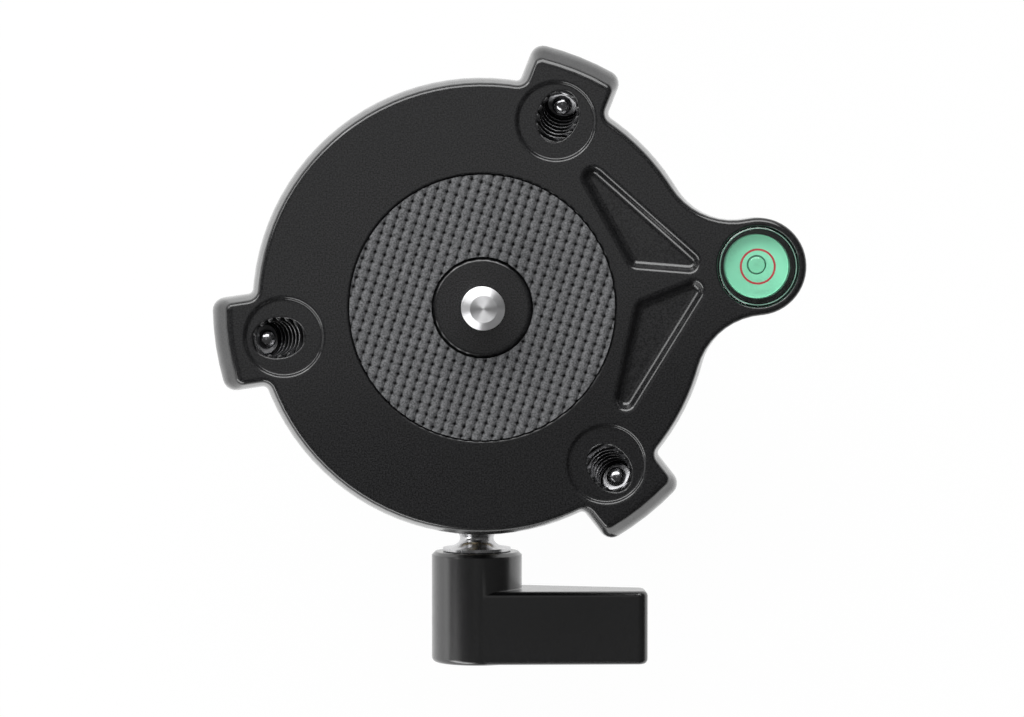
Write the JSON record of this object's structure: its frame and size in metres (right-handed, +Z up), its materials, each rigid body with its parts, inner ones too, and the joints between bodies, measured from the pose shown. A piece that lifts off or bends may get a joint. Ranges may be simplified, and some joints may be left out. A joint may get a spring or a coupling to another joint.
{
  "type": "leveling head",
  "caption": "Ball leveling head: round lugged platform with grip pad, threaded stud, round level and inclined set screws, on a clamped ball in a cup-shaped base with a side locking lever.",
  "frame": {"origin": "centre of the foot's underside, on the axis of the threaded socket", "axes": "+Z up along the stud, -Y toward the locking lever's hub, +X the way the lever's arm points"},
  "size_m": [0.1323, 0.1423, 0.073],
  "materials": {
    "black_paint": "satin",
    "anodised_aluminium": "satin",
    "bright_steel": "polished",
    "chrome": "polished",
    "brass": "satin",
    "acetal": "satin",
    "dark_steel": "satin",
    "spring_steel": "satin",
    "rubber": "matte",
    "clear_plastic": "gloss",
    "green_fluid": "gloss",
    "white_plastic": "gloss"
  },
  "bodies": {
    "base": {"housing": "black_paint", "base_bush": "bright_steel", "clamp_bush": "brass", "retaining_collar": "black_paint", "collar_lock_screw": "dark_steel"},
    "slip_ring": {"slip_ring": "acetal"},
    "friction_bowl": {"friction_bowl": "acetal"},
    "platform": {"ball": "anodised_aluminium", "platform": "black_paint", "platform_screws": "dark_steel", "rubber_pad": "rubber", "mounting_stud": "bright_steel", "level_vial": "clear_plastic", "level_fluid": "green_fluid", "level_plug": "white_plastic"},
    "brake_shoe": {"brake_shoe": "brass"},
    "clamp_shaft": {"clamp_shaft": "chrome", "lever_screw": "dark_steel", "lever_spring": "spring_steel"},
    "lever": {"lever_handle": "black_paint"},
    "set_screw_tip_1": {"set_screw_tip_1": "bright_steel"},
    "set_screw_1": {"set_screw_1": "dark_steel"},
    "set_screw_tip_2": {"set_screw_tip_2": "bright_steel"},
    "set_screw_2": {"set_screw_2": "dark_steel"},
    "set_screw_tip_3": {"set_screw_tip_3": "bright_steel"},
    "set_screw_3": {"set_screw_3": "dark_steel"}
  },
  "joints": [
    {"name": "tilt_heading", "type": "hinge", "parent": "base", "child": "slip_ring", "pos_m": [0, 0, 0.035], "axis": [0, 0, 1], "continuous": true},
    {"name": "tilt", "type": "hinge", "parent": "slip_ring", "child": "friction_bowl", "pos_m": [0, 0, 0.035], "axis": [1, 0, 0], "range_deg": [-15, 15]},
    {"name": "platform_turn", "type": "hinge", "parent": "friction_bowl", "child": "platform", "pos_m": [0, 0, 0.035], "axis": [0, 0, 1], "continuous": true},
    {"name": "shoe_slide", "type": "slide", "parent": "base", "child": "brake_shoe", "axis": [0, -1, 0], "range_m": [0, 0.00032]},
    {"name": "lever_turn", "type": "hinge", "parent": "brake_shoe", "child": "clamp_shaft", "pos_m": [0, -0.045, 0.018], "axis": [0, -1, 0], "range_deg": [0, 75]},
    {"name": "lever_pull", "type": "slide", "parent": "clamp_shaft", "child": "lever", "axis": [0, -1, 0], "range_m": [0, 0.004], "stiffness_N_per_m": 1500, "springref_m": -0.002, "deforming": ["lever_spring"]},
    {"name": "screw_1_advance", "type": "slide", "parent": "platform", "child": "set_screw_tip_1", "axis": [-0.2366, -0.5976, 0.766], "range_m": [0, 0.0045]},
    {"name": "screw_1_turn", "type": "hinge", "parent": "set_screw_tip_1", "child": "set_screw_1", "pos_m": [0.01679, 0.0424, 0.06235], "axis": [-0.2366, -0.5976, 0.766], "range_deg": [0, 1380]},
    {"name": "screw_2_advance", "type": "slide", "parent": "platform", "child": "set_screw_tip_2", "axis": [0.6359, 0.0939, 0.766], "range_m": [0, 0.0045]},
    {"name": "screw_2_turn", "type": "hinge", "parent": "set_screw_tip_2", "child": "set_screw_2", "pos_m": [-0.04511, -0.00666, 0.06235], "axis": [0.6359, 0.0939, 0.766], "range_deg": [0, 1380]},
    {"name": "screw_3_advance", "type": "slide", "parent": "platform", "child": "set_screw_tip_3", "axis": [-0.3993, 0.5037, 0.766], "range_m": [0, 0.0045]},
    {"name": "screw_3_turn", "type": "hinge", "parent": "set_screw_tip_3", "child": "set_screw_3", "pos_m": [0.02832, -0.03574, 0.06235], "axis": [-0.3993, 0.5037, 0.766], "range_deg": [0, 1380]}
  ],
  "couplings": [
    {"joint": "shoe_slide", "follows": "lever_turn", "m_per_rad": 0.00023873},
    {"joint": "screw_1_turn", "follows": "screw_1_advance", "rad_per_m": 5026.6},
    {"joint": "screw_2_turn", "follows": "screw_2_advance", "rad_per_m": 5026.6},
    {"joint": "screw_3_turn", "follows": "screw_3_advance", "rad_per_m": 5026.6}
  ]
}
